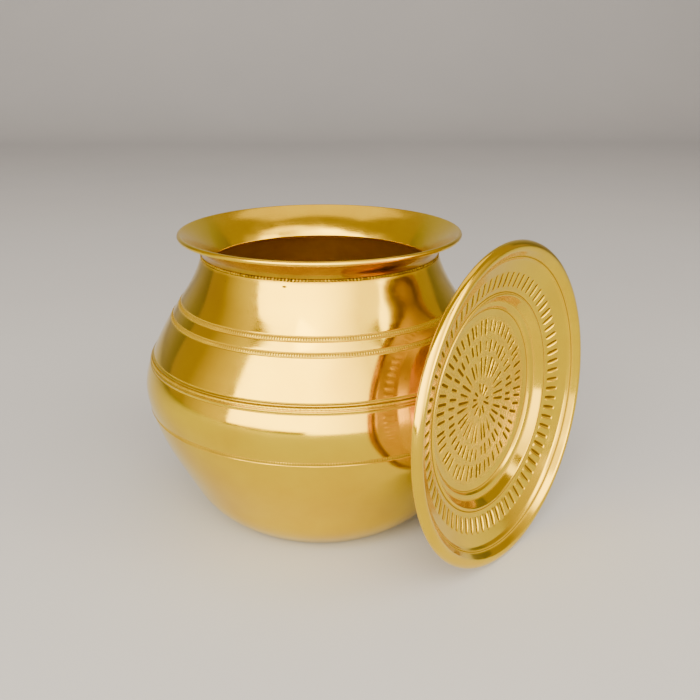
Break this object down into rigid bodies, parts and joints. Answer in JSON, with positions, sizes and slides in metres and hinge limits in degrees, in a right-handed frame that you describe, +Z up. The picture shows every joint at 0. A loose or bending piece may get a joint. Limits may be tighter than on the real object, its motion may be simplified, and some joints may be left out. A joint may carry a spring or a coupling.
{
  "type": "lidded metal water pot",
  "caption": "Round-bellied brass kalash pot with a flared rolled mouth, engraved bands, and a separate dished lid that leans against the belly.",
  "frame": {"origin": "centre of the pot's flat foot, on the surface that the pot and the lid stand on", "axes": "+Z up along the pot's axis, -Y toward the front from which the lid is seen on the right, +X to the right"},
  "size_m": [0.2627, 0.2432, 0.1788],
  "materials": {
    "polished_brass": "hand-polished sheet, fine turning lines",
    "lid_brass": "spun and polished, chiselled centre",
    "brass_wire": "drawn wire",
    "braze_filler": "darkened brazing metal"
  },
  "bodies": {
    "pot": {"lower_bowl": "polished_brass", "shoulder_shell": "polished_brass", "neck_collar": "polished_brass", "lip_wire": "brass_wire", "belly_seam_braze": "braze_filler", "neck_seam_braze": "braze_filler"},
    "lid": {"lid_plate": "lid_brass", "lid_rim_wire": "brass_wire"}
  },
  "joints": [
    {"name": "lid_lift", "type": "slide", "parent": "pot", "child": "lid", "axis": [0, 0, 1], "range_m": [0, 0.2]}
  ]
}
